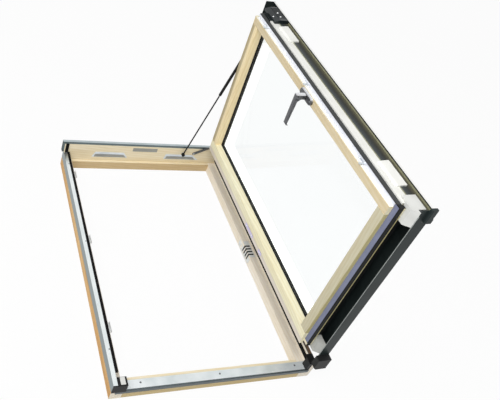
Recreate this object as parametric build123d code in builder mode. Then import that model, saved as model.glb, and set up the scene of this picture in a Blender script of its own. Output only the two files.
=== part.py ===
from build123d import *
import math
import os

os.makedirs("parts", exist_ok=True)

# Frame: its room face lies at z = 0, +Z points out of the roof, +Y runs up the slope
frame_width = 660.0
frame_height = 980.0
hinge_stile_width = 42.0
lock_stile_width = 36.0
ledge_height = 36.0
wall_thickness = 13.0
cap_gauge = 2.0
cap_top = 73.0
cap_skirt_bottom = 38.0
sill_depth = 40.0
sill_cap_depth = 31.0
sill_lip_height = 11.0
head_depth = 24.0
head_wall_thickness = 11.5
hood_top = 122.0
hood_skirt = 10.0
hood_side = 8.0
wood_round = 1.5
seal_thickness = 1.5
seal_bottom = 48.0
seal_height = 14.0
lip_reach = 9.5
lip_height = 7.0
lip_start = 42.0
upright_width = 12.0
upright_side = 4.0
upright_depth = 3.0
overrun = 2.0
fit_gap = 0.3

# Sash, laid out closed inside the frame and then turned about its hinge line
open_angle = 87.0
hinge_line_out = 1.0
hinge_line_height = 116.0
sash_face_height = 43.0
sash_side_inset = 39.0
sash_lock_inset = 42.0
sash_foot_inset = 45.0
sash_head_inset = 34.0
sash_stile_face = 30.0
sash_foot_face = 32.0
sash_head_face = 32.0
rim_step = 3.0
rim_thickness = 10.0
rim_side = 24.0
rim_head = 9.0
lock_step = 12.0
rim_foot = 17.0
rim_foot_rise = 3.0
core_side_inset = 30.0
core_foot_inset = 40.0
core_head_inset = 35.0
glass_seat = 28.0
glass_overlap = 12.0
glazing_gap = 0.5
pane_thickness = 4.0
spacer_height = 10.0
spacer_width = 8.0
spacer_inset = 2.0
glass_seal_width = 2.0
glass_seal_height = 2.0

# Edge profiles and weather covers of the sash
edge_seal_depth = 2.0
edge_seal_height = 12.0
profile_depth = 6.0
profile_height = 26.0
profile_wall = 1.5
cover_top = 130.0
cover_gauge = 2.0
cover_web_bottom = 95.0
cover_web_stop = 4.0
cover_sight = 7.0
cover_overhang = 13.0
cover_hinge_overhang = 46.0
cover_lip = 7.0
cover_lip_gauge = 1.5
cover_foot_out = 0.0
cover_head_out = 20.0
cover_flange = 36.0
flange_hinge_out = 14.0
corner_cap_out = 10.0
corner_cap_height = 19.0
corner_cap_width = 44.0
corner_cap_past = 8.0
corner_cap_round = 3.0
corner_foot_width = 12.0
corner_foot_rise = 3.0
hinge_cap_out = 20.0
hinge_cap_width = 50.0
hinge_cap_height = 45.0
hinge_cap_bevel = 9.0
rib_pitch = 8.0
rib_width = 4.0
rib_depth = 2.0
rib_count = 5
end_rib_count = 9
end_cap_length = 92.0
end_cap_profile = 55.0
end_cap_bottom = 76.0
end_cap_reach = 7.0
end_cap_hood_gap = 3.0
clip_length = 92.0
clip_nose = 44.0
clip_reach = 4.0
clip_base_reach = 5.0
clip_bottom = 82.0
clip_top = 120.0
clip_bevel = 6.0
clip_foot_place = 140.0
clip_from_head = 178.0
end_block_width = 46.0
end_block_reach = 5.0
end_block_slope = 12.0
end_block_tail = 62.0
end_block_tail_bottom = 77.0
end_block_tail_top = 118.0

# Hinges
hinge_foot_place = 180.0
hinge_from_head = 200.0
pin_radius = 4.0
pin_fit = 0.08
pin_head_radius = 6.0
pin_head_height = 3.0
knuckle_radius = 8.0
knuckle_length = 20.0
knuckle_gap = 0.4
leaf_gauge = 3.0
leaf_base = 12.0
leaf_length = 96.0
sash_leaf_height = 22.0

# Handle, lock bar and strikes
handle_above_middle = 20.0
handle_plate_length = 74.0
handle_plate_width = 25.0
handle_plate_height = 8.0
handle_plate_round = 2.5
handle_neck_height = 33.0
handle_neck_back = 8.0
handle_neck_front = 9.0
handle_length = 106.0
handle_width = 15.0
handle_root_height = 12.0
handle_tip_height = 7.0
handle_tip_drop = 3.0
handle_hook = 6.0
handle_elbow = 9.0
handle_round = 2.0
spindle_radius = 4.0
spindle_depth = 10.0
spindle_fit = 0.08
faceplate_width = 11.5
faceplate_gauge = 1.5
lock_bar_width = 6.0
lock_bar_gauge = 3.0
lock_bar_travel = 24.0
lock_bar_clear = 0.5
stud_neck_radius = 2.0
stud_head_radius = 3.0
stud_head_height = 2.0
stud_reach = 17.0
strike_foot_place = 207.0
strike_above_middle = 67.0
strike_from_head = 101.0
strike_length = 36.0
strike_gauge = 1.2
strike_side = 0.8
strike_height = 6.5
strike_room = 0.7

# Gas strut between the head of the frame and the top edge of the sash
strut_off_wall = 7.5
strut_sash_in = 110.0
strut_sash_height = 84.0
strut_from_hinge = 171.0
strut_frame_height = 85.0
cylinder_radius = 5.5
cylinder_length = 283.0
cylinder_bevel = 1.5
rod_radius = 2.75
rod_fit = 0.05
rod_inside = 40.0
rod_end_radius = 7.0
rod_end_back = 3.0
rod_end_front = 5.0
frame_stud_radius = 5.0
pivot_radius = 3.0
pivot_fit = 0.06
pivot_base_radius = 9.0
pivot_base_height = 3.0
eye_radius = 6.5

# Fittings on the frame
tray_gauge = 1.2
tray_bottom = 53.0
tray_top = 78.0
tray_small_foot = (112.0, 258.0)
tray_small_head = (124.0, 239.0)
tray_large_foot = (247.0, 94.0)
tray_large_head = (243.0, 126.0)
tray_pocket = 0.7
tray_rim = 4.0
catch_from_hinge = 123.0
catch_height = 87.0
catch_length = 60.0
catch_width = 11.0
catch_gauge = 2.0
catch_rise = 30.0
catch_off_wall = 1.7
catch_pin_radius = 3.0
catch_pin_fit = 0.06
keep_above_middle = 10.0
keep_length = 100.0
keep_bottom = 5.0
keep_height = 26.0
keep_gauge = 1.5
keep_slot_length = 17.0
keep_slot_width = 7.0
keep_slot_pitch = 27.0
keep_round = 12.0
catch_plate_width = 13.0
catch_plate_gauge = 1.5
catch_plates = {"long": (6.0, 66.0), "short": (-96.0, 24.0)}
corner_block_depth = 25.0
corner_block_widths = {"lock": 29.0, "hinge": 12.0}
corner_front = 3.0
corner_hat_height = 1.0
corner_hat_start = 1.0
corner_hat_length = 34.0

# Places worked out from the sizes above; the origin is the middle of the sill's room face
half_width = frame_width / 2
foot_y = -sill_depth / 2
head_y = foot_y + frame_height
middle_y = (foot_y + head_y) / 2
hinge_clear = half_width - hinge_stile_width
lock_clear = half_width - lock_stile_width
clear_width = hinge_clear + lock_clear
wall_face = half_width - wall_thickness
wall_top = cap_top - cap_gauge
sill_cap_top = ledge_height + cap_gauge
head_face_y = head_y - head_depth
head_wall_y = head_y - head_wall_thickness
hood_under = hood_top - cap_gauge
hood_skirt_bottom = hood_top - hood_skirt
hinge_x = half_width + hinge_line_out
hinge_z = hinge_line_height
face_half = half_width - sash_side_inset
lock_half = half_width - sash_lock_inset
face_foot = foot_y + sash_foot_inset
face_head = head_y - sash_head_inset
rim_half = face_half + rim_side
rim_foot_y = face_foot - rim_foot
rim_head_y = face_head + rim_head
rim_z = sash_face_height + rim_step
core_z = rim_z + rim_thickness
lock_rim_z = sash_face_height + lock_step
core_half = half_width - core_side_inset
core_foot = foot_y + core_foot_inset
core_head = head_y - core_head_inset
sight_half = face_half - sash_stile_face
sight_foot = face_foot + sash_foot_face
sight_head = face_head - sash_head_face
seat_z = sash_face_height + glass_seat
pane_in_z = seat_z + glazing_gap
spacer_z = pane_in_z + pane_thickness
pane_out_z = spacer_z + spacer_height
glass_top = pane_out_z + pane_thickness
core_top = glass_top + glazing_gap
glass_half = sight_half + glass_overlap
glass_foot = sight_foot - glass_overlap
glass_head = sight_head + glass_overlap
bed_half = glass_half + glazing_gap
bed_foot = glass_foot - glazing_gap
bed_head = glass_head + glazing_gap
profile_z = core_z + edge_seal_height + fit_gap
foot_rim_top = seat_z + rim_foot_rise
foot_profile_z = foot_rim_top + fit_gap
profile_top = profile_z + profile_height
profile_half = core_half + profile_depth
profile_foot = core_foot - profile_depth
profile_head = core_head + profile_depth
cover_under = cover_top - cover_gauge
cover_lip_z = cover_top - cover_lip
cover_half = sight_half + cover_sight
cover_in_foot = sight_foot - cover_sight
cover_in_head = sight_head + cover_sight
web_half = profile_half + cover_gauge
cover_foot = foot_y - cover_foot_out
cover_head = head_y + cover_head_out
web_head = head_wall_y - cover_web_stop
free_edge = web_half + cover_overhang
hinge_edge = web_half + cover_hinge_overhang
flange_edge = hinge_edge + flange_hinge_out
block_half = profile_half - end_block_width
lock_x = -(lock_half + core_half) / 2
handle_x = -(lock_half + sight_half) / 2
handle_y = middle_y + handle_above_middle
plate_z = sash_face_height - handle_plate_height
neck_z = plate_z - handle_neck_height
stud_z = lock_rim_z - stud_reach
strut_y = head_wall_y - strut_off_wall
strike_places = {
    "lower": foot_y + strike_foot_place,
    "middle": middle_y + strike_above_middle,
    "upper": head_y - strike_from_head,
}

sash_turn = (
    Location((hinge_x, 0, hinge_z))
    * Location((0, 0, 0), (0, open_angle, 0))
    * Location((-hinge_x, 0, -hinge_z))
)


def fixed(plane):
    return plane


def on_sash(plane):
    """The plane after the closed sash has been turned to its open place."""
    return Plane(sash_turn * plane.location)


sash_plane = on_sash(Plane.XY)
sash_out = Axis(sash_plane.origin, sash_plane.z_dir)
sash_across = Axis(sash_plane.origin, sash_plane.x_dir)


def finish(piece, name):
    piece.part.label = name
    export_step(piece.part, f"parts/{name}.step")


def box_points(a, b, c, d):
    return [(a, b), (c, b), (c, d), (a, d)]


def mirrored(points, side):
    return [(side * x, z) for x, z in points]


def bar_along_y(points, start, end, placed):
    """A bar along Y from its X-Z section."""
    with BuildPart() as bar:
        with BuildSketch(placed(Plane.XZ.offset(-end))):
            Polygon(*points, align=None)
        extrude(amount=end - start)
    return bar


def bar_along_x(points, start, end, placed):
    """A bar along X from its Y-Z section."""
    with BuildPart() as bar:
        with BuildSketch(placed(Plane.YZ.offset(start))):
            Polygon(*points, align=None)
        extrude(amount=end - start)
    return bar


def plate_on_z(points, start, end, placed):
    """A plate or block between two heights from its X-Y outline."""
    with BuildPart() as plate:
        with BuildSketch(placed(Plane.XY.offset(start))):
            Polygon(*points, align=None)
        extrude(amount=end - start)
    return plate


def loop_on_z(outer, inner, start, end):
    """A sash loop between two rectangles, each given as half width, low y and high y."""
    with BuildPart() as loop:
        with BuildSketch(on_sash(Plane.XY.offset(start))):
            Polygon(*box_points(-outer[0], outer[1], outer[0], outer[2]), align=None)
            Polygon(*box_points(-inner[0], inner[1], inner[0], inner[2]), align=None, mode=Mode.SUBTRACT)
        extrude(amount=end - start)
    return loop


# Frame stiles: full length, rebated for the sash, with a wall that carries the metal cap
cap_section = [
    (half_width, cap_skirt_bottom),
    (half_width - cap_gauge, cap_skirt_bottom),
    (half_width - cap_gauge, wall_top),
    (wall_face, wall_top),
    (wall_face, cap_top),
    (half_width, cap_top),
]
for name, side, clear in (("lock", -1, lock_clear), ("hinge", 1, hinge_clear)):
    stile_section = [
        (half_width, 0),
        (clear, 0),
        (clear, ledge_height),
        (wall_face, ledge_height),
        (wall_face, wall_top),
        (half_width - cap_gauge, wall_top),
        (half_width - cap_gauge, cap_skirt_bottom),
        (half_width, cap_skirt_bottom),
    ]
    with BuildPart() as frame_stile:
        with BuildSketch(Plane.XZ.offset(-head_y)):
            Polygon(*mirrored(stile_section, side), align=None)
        extrude(amount=frame_height)
        fillet(frame_stile.edges().filter_by(Axis.Y).group_by(Axis.Z)[0], radius=wood_round)
    finish(frame_stile, f"frame_{name}_stile")
    frame_cap = bar_along_y(mirrored(cap_section, side), foot_y, head_y, fixed)
    finish(frame_cap, f"frame_{name}_cap")

# Head: a low front, a set back wall above the ledge and a rebate at its top for the hood
with BuildPart() as frame_head:
    with BuildSketch(Plane.YZ.offset(-lock_clear)):
        Polygon(*box_points(head_face_y, 0, head_y, ledge_height), align=None)
    extrude(amount=clear_width)
    fillet(frame_head.edges().filter_by(Axis.X).group_by(Axis.Z)[0], radius=wood_round)
    with BuildSketch(Plane.YZ.offset(-wall_face)):
        Polygon(*box_points(head_wall_y, ledge_height, head_y - cap_gauge, cap_top), align=None)
    extrude(amount=2 * wall_face)
    with BuildSketch(Plane.YZ.offset(-half_width)):
        Polygon(
            (head_wall_y, cap_top),
            (head_y - cap_gauge, cap_top),
            (head_y - cap_gauge, hood_under),
            (head_wall_y + cap_gauge, hood_under),
            (head_wall_y + cap_gauge, hood_skirt_bottom),
            (head_wall_y, hood_skirt_bottom),
            align=None,
        )
    extrude(amount=frame_width)
finish(frame_head, "frame_head")

with BuildPart() as frame_hood:
    with BuildSketch(Plane.YZ.offset(-half_width - hood_side)):
        Polygon(
            (head_wall_y, hood_skirt_bottom),
            (head_wall_y + cap_gauge, hood_skirt_bottom),
            (head_wall_y + cap_gauge, hood_under),
            (head_y - cap_gauge, hood_under),
            (head_y - cap_gauge, cap_top),
            (head_y, cap_top),
            (head_y, hood_top),
            (head_wall_y, hood_top),
            align=None,
        )
    extrude(amount=frame_width + 2 * hood_side)
    for side in (-1, 1):
        with BuildSketch(Plane.XY.offset(cap_top)):
            ear = box_points(
                side * half_width,
                head_wall_y,
                side * (half_width + hood_side),
                head_wall_y + cap_gauge,
            )
            Polygon(*ear, align=None)
        extrude(amount=hood_under - cap_top)
    with BuildSketch(Plane.YZ.offset(-wall_face)):
        Polygon(*box_points(head_y - cap_gauge, ledge_height, head_y, cap_top), align=None)
    extrude(amount=2 * wall_face)
finish(frame_hood, "frame_hood")

# Sill: low timber between the stiles under a screwed metal tread with a drip lip
with BuildPart() as frame_sill:
    with BuildSketch(Plane.YZ.offset(-lock_clear)):
        Polygon(*box_points(foot_y, 0, foot_y + sill_depth, ledge_height), align=None)
    extrude(amount=clear_width)
    fillet(frame_sill.edges().filter_by(Axis.X).group_by(Axis.Z)[0], radius=wood_round)
finish(frame_sill, "frame_sill")

sill_cap_section = [
    (foot_y - cap_gauge, sill_cap_top - sill_lip_height),
    (foot_y, sill_cap_top - sill_lip_height),
    (foot_y, ledge_height),
    (foot_y + sill_cap_depth, ledge_height),
    (foot_y + sill_cap_depth, sill_cap_top),
    (foot_y - cap_gauge, sill_cap_top),
]
finish(bar_along_x(sill_cap_section, -wall_face, wall_face, fixed), "sill_cap")

# Corner blocks on the sill's tread: one closes the lock stile's end, one laps over the hinge cap
for name, side in (("lock", -1), ("hinge", 1)):
    inner = side * (wall_face - corner_block_widths[name])
    outer = side * wall_face
    edge = side * half_width
    with BuildPart() as corner_block:
        with BuildSketch(Plane.XY.offset(sill_cap_top)):
            Polygon(*box_points(inner, foot_y, outer, foot_y + corner_block_depth), align=None)
        extrude(amount=cap_top - sill_cap_top)
        if name == "lock":
            with BuildSketch(Plane.XY.offset(sill_cap_top)):
                Polygon(*box_points(inner, foot_y - corner_front, edge, foot_y), align=None)
            extrude(amount=cap_top - sill_cap_top)
        else:
            with BuildSketch(Plane.XY.offset(cap_top)):
                hat_y = foot_y + corner_hat_start
                Polygon(*box_points(inner, hat_y, edge, hat_y + corner_hat_length), align=None)
            extrude(amount=corner_hat_height)
    finish(corner_block, f"corner_block_{name}")

# Weather seal: a lip along the lock wall, a strip along the hinge wall and an upright in the head corner
lip_y = foot_y + lip_start
with BuildPart() as frame_seal:
    with BuildSketch(Plane.XY.offset(cap_top - lip_height)):
        Polygon(*box_points(-wall_face, lip_y, -wall_face + lip_reach, head_wall_y), align=None)
    extrude(amount=lip_height)
    with BuildSketch(Plane.XY.offset(seal_bottom)):
        seal_y = foot_y + sill_cap_depth
        Polygon(*box_points(wall_face - seal_thickness, seal_y, wall_face, head_wall_y), align=None)
    extrude(amount=seal_height)
    with BuildSketch(Plane.XY.offset(cap_top)):
        upright_x = -half_width + upright_side
        Polygon(
            *box_points(upright_x, head_wall_y - upright_depth, upright_x + upright_width, head_wall_y),
            align=None,
        )
    extrude(amount=hood_skirt_bottom - cap_top)
finish(frame_seal, "frame_seal")

# Strikes: channels on the ledge whose lips catch the lock studs in their upper half
strike_half = stud_head_radius + strike_room
strike_lip = stud_neck_radius + strike_room
strike_top = ledge_height + strike_height
for name, strike_y in strike_places.items():
    with BuildPart() as strike:
        with BuildSketch(Plane.XZ.offset(-(strike_y + strike_length / 2))):
            Polygon(
                (lock_x - strike_half - strike_side, ledge_height),
                (lock_x + strike_half + strike_side, ledge_height),
                (lock_x + strike_half + strike_side, strike_top),
                (lock_x + strike_half, strike_top),
                (lock_x + strike_half, ledge_height + strike_gauge),
                (lock_x - strike_half, ledge_height + strike_gauge),
                (lock_x - strike_half, strike_top),
                (lock_x - strike_half - strike_side, strike_top),
                align=None,
            )
        extrude(amount=strike_length)
        for edge in (-1, 1):
            with BuildSketch(Plane.XY.offset(strike_top - strike_gauge)):
                Polygon(
                    *box_points(
                        lock_x + edge * strike_lip,
                        strike_y + strike_side,
                        lock_x + edge * strike_half,
                        strike_y + strike_length / 2,
                    ),
                    align=None,
                )
            extrude(amount=strike_gauge)
    finish(strike, f"strike_{name}")

# Pressed trays on the head wall, wider at the foot
tray_small = [x - half_width for x in tray_small_foot + tray_small_head]
tray_large = [half_width - x for x in tray_large_foot + tray_large_head]
for name, (foot_low, foot_high, head_low, head_high) in (("small", tray_small), ("large", tray_large)):
    with BuildPart() as tray:
        with BuildSketch(Plane.XZ.offset(-head_wall_y)):
            Polygon(
                (foot_low, tray_bottom),
                (foot_high, tray_bottom),
                (head_high, tray_top),
                (head_low, tray_top),
                align=None,
            )
        extrude(amount=tray_gauge)
        with BuildSketch(Plane.XZ.offset(-(head_wall_y - tray_gauge))):
            Polygon(
                (foot_low + 2 * tray_rim, tray_bottom + tray_rim),
                (foot_high - 2 * tray_rim, tray_bottom + tray_rim),
                (head_high - tray_rim, tray_top - tray_rim),
                (head_low + tray_rim, tray_top - tray_rim),
                align=None,
            )
        extrude(amount=-tray_pocket, mode=Mode.SUBTRACT)
    finish(tray, f"tray_{name}")

# Stud for the strut's rod end, above the large tray
strut_frame_x = half_width - strut_from_hinge
rod_end_back_y = strut_y + rod_end_back
with BuildPart() as strut_stud:
    with BuildSketch(Plane.XZ.offset(-head_wall_y)):
        with Locations((strut_frame_x, strut_frame_height)):
            Circle(frame_stud_radius)
    extrude(amount=head_wall_y - rod_end_back_y - fit_gap)
finish(strut_stud, "strut_stud")

# Hold open catch on its pin
catch_x = half_width - catch_from_hinge
catch_far_y = head_wall_y - catch_off_wall
with BuildPart() as catch_pin:
    with BuildSketch(Plane.XZ.offset(-head_wall_y)):
        with Locations((catch_x, catch_height)):
            Circle(catch_pin_radius)
    extrude(amount=catch_off_wall + catch_gauge)
finish(catch_pin, "catch_pin")

catch_along = Vector(math.cos(math.radians(catch_rise)), 0, math.sin(math.radians(catch_rise)))
with BuildPart() as catch_arm:
    with BuildSketch(Plane((catch_x, catch_far_y, catch_height), x_dir=catch_along, z_dir=(0, -1, 0))):
        with Locations((catch_length / 2, 0)):
            SlotCenterToCenter(catch_length, catch_width)
        Circle(catch_pin_radius + catch_pin_fit, mode=Mode.SUBTRACT)
    extrude(amount=catch_gauge)
finish(catch_arm, "catch_arm")

# Slotted keep plate on the inner face of the hinge stile
with BuildPart() as keep_plate:
    with BuildSketch(Plane.YZ.offset(hinge_clear - keep_gauge)) as keep_outline:
        with Locations((middle_y + keep_above_middle, keep_bottom + keep_height / 2)):
            Rectangle(keep_length, keep_height)
        fillet(keep_outline.vertices().group_by(Axis.Y)[0], radius=keep_round)
        with Locations((middle_y + keep_above_middle, keep_bottom + keep_height / 2)):
            with GridLocations(keep_slot_pitch, 0, 3, 1):
                SlotOverall(keep_slot_length, keep_slot_width, rotation=90, mode=Mode.SUBTRACT)
    extrude(amount=keep_gauge)
finish(keep_plate, "keep_plate")

# Sash timber: two full stiles with the rails between them; the lock gear lies in a deeper step
for name, side, face, rim in (("lock", -1, lock_half, lock_half), ("hinge", 1, face_half, rim_half)):
    with BuildPart() as sash_stile:
        with BuildSketch(on_sash(Plane.XY.offset(sash_face_height))):
            Polygon(*box_points(side * sight_half, face_foot, side * face, face_head), align=None)
        extrude(amount=lock_step)
        with BuildSketch(on_sash(Plane.XY.offset(rim_z))):
            Polygon(*box_points(side * sight_half, face_foot, side * rim, rim_head_y), align=None)
        extrude(amount=rim_thickness)
        with BuildSketch(on_sash(Plane.XY.offset(lock_rim_z))):
            Polygon(*box_points(side * sight_half, rim_foot_y, side * core_half, core_head), align=None)
        extrude(amount=seat_z - lock_rim_z)
        with BuildSketch(on_sash(Plane.XY.offset(seat_z))):
            Polygon(*box_points(side * bed_half, core_foot, side * core_half, core_head), align=None)
        extrude(amount=core_top - seat_z)
        with BuildSketch(on_sash(Plane.XY.offset(seat_z))):
            Polygon(*box_points(side * bed_half, rim_foot_y, side * core_half, core_foot), align=None)
        extrude(amount=rim_foot_rise)
        fillet(sash_stile.edges().filter_by(Axis.Y).group_by(sash_out)[0], radius=wood_round)
        if name == "lock":
            groove = lock_bar_width / 2 + lock_bar_clear
            with BuildSketch(on_sash(Plane.XY.offset(lock_rim_z))):
                Polygon(
                    *box_points(
                        lock_x - groove,
                        rim_foot_y - overrun,
                        lock_x + groove,
                        core_head + overrun,
                    ),
                    align=None,
                )
            extrude(amount=lock_bar_gauge + lock_bar_clear, mode=Mode.SUBTRACT)
            with BuildSketch(on_sash(Plane.XY.offset(sash_face_height))):
                with Locations((handle_x, handle_y)):
                    Circle(spindle_radius + spindle_fit)
            extrude(amount=spindle_depth + overrun, mode=Mode.SUBTRACT)
    finish(sash_stile, f"sash_{name}_stile")

foot_rail_section = [
    (sight_foot, sash_face_height),
    (face_foot, sash_face_height),
    (face_foot, lock_rim_z),
    (rim_foot_y, lock_rim_z),
    (rim_foot_y, seat_z),
    (sight_foot, seat_z),
]
head_rail_section = [
    (sight_head, sash_face_height),
    (face_head, sash_face_height),
    (face_head, rim_z),
    (rim_head_y, rim_z),
    (rim_head_y, core_z),
    (core_head, core_z),
    (core_head, seat_z),
    (sight_head, seat_z),
]
for name, section, core, bed, rise_y in (
    ("foot", foot_rail_section, core_foot, bed_foot, rim_foot_y),
    ("head", head_rail_section, core_head, bed_head, core_head),
):
    with BuildPart() as sash_rail:
        with BuildSketch(on_sash(Plane.YZ.offset(-sight_half))):
            Polygon(*section, align=None)
        extrude(amount=2 * sight_half)
        fillet(sash_rail.edges().filter_by(sash_across).group_by(sash_out)[0], radius=wood_round)
        with BuildSketch(on_sash(Plane.YZ.offset(-bed_half))):
            Polygon(
                (bed, seat_z),
                (rise_y, seat_z),
                (rise_y, foot_rim_top),
                (core, foot_rim_top),
                (core, core_top),
                (bed, core_top),
                align=None,
            )
        extrude(amount=2 * bed_half)
    finish(sash_rail, f"sash_{name}_rail")

# Sealed glazing unit with its inner seal
glass_points = box_points(-glass_half, glass_foot, glass_half, glass_head)
finish(plate_on_z(glass_points, pane_in_z, spacer_z, on_sash), "inner_pane")
finish(plate_on_z(glass_points, pane_out_z, glass_top, on_sash), "outer_pane")
spacer_outer = (glass_half - spacer_inset, glass_foot + spacer_inset, glass_head - spacer_inset)
spacer_inner = (spacer_outer[0] - spacer_width, spacer_outer[1] + spacer_width, spacer_outer[2] - spacer_width)
finish(loop_on_z(spacer_outer, spacer_inner, spacer_z, pane_out_z), "glass_spacer")
glass_seal_outer = (sight_half, sight_foot, sight_head)
glass_seal_inner = (
    sight_half - glass_seal_width,
    sight_foot + glass_seal_width,
    sight_head - glass_seal_width,
)
finish(loop_on_z(glass_seal_outer, glass_seal_inner, pane_in_z - glass_seal_height, pane_in_z), "glazing_seal")

# Seal round the sides of the sash, flush over the lock side's step
edge_seal_outer = (core_half + edge_seal_depth, rim_foot_y - edge_seal_depth, core_head + edge_seal_depth)
edge_seal_inner = (core_half, rim_foot_y, core_head)
finish(loop_on_z(edge_seal_outer, edge_seal_inner, core_z, core_z + edge_seal_height), "sash_seal")


def channel(root, face, low, high):
    """Points of a C section whose open side stands on the root line."""
    wall = profile_wall if face > root else -profile_wall
    return [
        (root, low),
        (face, low),
        (face, high),
        (root, high),
        (root, high - profile_wall),
        (face - wall, high - profile_wall),
        (face - wall, low + profile_wall),
        (root, low + profile_wall),
    ]


# Edge profiles: white channels on the long sides, black ones at the foot and head
cap_foot_y = core_head - end_cap_profile
for name, side in (("lock", -1), ("hinge", 1)):
    section = channel(side * core_half, side * profile_half, profile_z, profile_top)
    finish(bar_along_y(section, core_foot, cap_foot_y, on_sash), f"edge_profile_{name}")
foot_section = channel(core_foot, profile_foot, foot_profile_z, profile_top)
finish(bar_along_x(foot_section, -block_half, block_half, on_sash), "edge_profile_foot")
head_section = channel(core_head, profile_head, profile_z, profile_top)
finish(bar_along_x(head_section, -core_half, core_half, on_sash), "edge_profile_head")

# Side covers: a top plate with a lip, a web that stops short of the hood, and a bead on the glass
for name, side, edge in (("lock", -1, free_edge), ("hinge", 1, hinge_edge)):
    with BuildPart() as side_cover:
        with BuildSketch(on_sash(Plane.XZ.offset(-cover_head))):
            Polygon(
                *mirrored(
                    [
                        (cover_half, cover_under),
                        (edge - cover_lip_gauge, cover_under),
                        (edge - cover_lip_gauge, cover_lip_z),
                        (edge, cover_lip_z),
                        (edge, cover_top),
                        (cover_half, cover_top),
                    ],
                    side,
                ),
                align=None,
            )
        extrude(amount=cover_head - cover_foot)
        with BuildSketch(on_sash(Plane.XZ.offset(-web_head))):
            web = box_points(profile_half, cover_web_bottom, web_half, cover_under)
            Polygon(*mirrored(web, side), align=None)
        extrude(amount=web_head - cover_foot)
        with BuildSketch(on_sash(Plane.XZ.offset(-cover_in_head))):
            bead = box_points(cover_half, glass_top, cover_half + cover_gauge, cover_under)
            Polygon(*mirrored(bead, side), align=None)
        extrude(amount=cover_in_head - cover_in_foot)
    finish(side_cover, f"cover_{name}")

for name, edge, inner, out in (
    ("foot", cover_foot, cover_in_foot, -1),
    ("head", cover_head, cover_in_head, 1),
):
    with BuildPart() as end_cover:
        with BuildSketch(on_sash(Plane.YZ.offset(-cover_half))):
            Polygon(
                (edge, cover_under),
                (inner + out * cover_gauge, cover_under),
                (inner + out * cover_gauge, glass_top),
                (inner, glass_top),
                (inner, cover_top),
                (edge, cover_top),
                align=None,
            )
        extrude(amount=2 * cover_half)
        with BuildSketch(on_sash(Plane.YZ.offset(-free_edge))):
            flange = box_points(edge, cover_top - cover_flange, edge + out * cover_gauge, cover_top)
            Polygon(*flange, align=None)
        extrude(amount=free_edge + (flange_edge if name == "foot" else hinge_edge))
    finish(end_cover, f"cover_{name}")

# Plastic corner pieces at the foot of the covers
cap_y = cover_foot - cover_gauge
cap_edge = -free_edge - corner_cap_past
with BuildPart() as corner_cap_lock:
    with BuildSketch(on_sash(Plane.XZ.offset(-cap_y))):
        Polygon(
            (cap_edge, cover_top - corner_cap_height),
            (cap_edge + corner_cap_width, cover_top - corner_cap_height),
            (cap_edge + corner_cap_width, cover_top + corner_foot_rise),
            (cap_edge + corner_cap_width - corner_foot_width, cover_top + corner_foot_rise),
            (cap_edge + corner_cap_width - corner_foot_width, cover_top),
            (cap_edge, cover_top),
            align=None,
        )
    extrude(amount=corner_cap_out)
    chamfer(corner_cap_lock.edges().group_by(Axis.Y)[0].filter_by(sash_across), length=corner_cap_round)
finish(corner_cap_lock, "corner_cap_lock")

with BuildPart() as corner_cap_hinge:
    with BuildSketch(on_sash(Plane.XZ.offset(-cap_y))):
        Polygon(
            (flange_edge - hinge_cap_width, cover_top - hinge_cap_height),
            (flange_edge - hinge_cap_bevel, cover_top - hinge_cap_height),
            (flange_edge, cover_top - hinge_cap_height + hinge_cap_bevel),
            (flange_edge, cover_top),
            (flange_edge - hinge_cap_width, cover_top),
            align=None,
        )
    extrude(amount=hinge_cap_out)
    for rib in range(rib_count):
        rib_x = flange_edge - hinge_cap_width + (rib + 1) * rib_pitch
        with BuildSketch(on_sash(Plane.XY.offset(cover_top - rib_depth))):
            rib_cut = box_points(rib_x, cap_y - hinge_cap_out - overrun, rib_x + rib_width, cap_y + overrun)
            Polygon(*rib_cut, align=None)
        extrude(amount=rib_depth + overrun, mode=Mode.SUBTRACT)
finish(corner_cap_hinge, "corner_cap_hinge")

# Ribbed end caps fill the cover channels at the head
for name, side, edge in (("lock", -1, free_edge), ("hinge", 1, web_half + cover_overhang)):
    with BuildPart() as end_cap:
        with BuildSketch(on_sash(Plane.XZ.offset(-web_head))):
            body = [
                (profile_half, end_cap_bottom),
                (profile_half + end_cap_reach, end_cap_bottom),
                (edge - cover_lip_gauge, cover_web_bottom),
                (edge - cover_lip_gauge, cover_under),
                (web_half, cover_under),
                (web_half, cover_web_bottom),
                (profile_half, cover_web_bottom),
            ]
            Polygon(*mirrored(body, side), align=None)
        extrude(amount=end_cap_length)
        with BuildSketch(on_sash(Plane.XZ.offset(-cover_head))):
            tongue = box_points(web_half, hood_top + end_cap_hood_gap, edge - cover_lip_gauge, cover_under)
            Polygon(*mirrored(tongue, side), align=None)
        extrude(amount=cover_head - web_head)
        with BuildSketch(on_sash(Plane.XZ.offset(-core_head))):
            root = box_points(core_half, profile_z, profile_half, cover_web_bottom)
            Polygon(*mirrored(root, side), align=None)
        extrude(amount=end_cap_profile)
        for rib in range(end_rib_count):
            rib_y = web_head - (rib + 1) * rib_pitch
            with BuildSketch(on_sash(Plane.XZ.offset(-rib_y))):
                rib_cut = box_points(
                    edge - cover_lip_gauge - rib_depth,
                    cover_web_bottom - overrun,
                    edge,
                    cover_lip_z - overrun,
                )
                Polygon(*mirrored(rib_cut, side), align=None)
            extrude(amount=rib_width, mode=Mode.SUBTRACT)
    finish(end_cap, f"end_cap_{name}")

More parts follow.
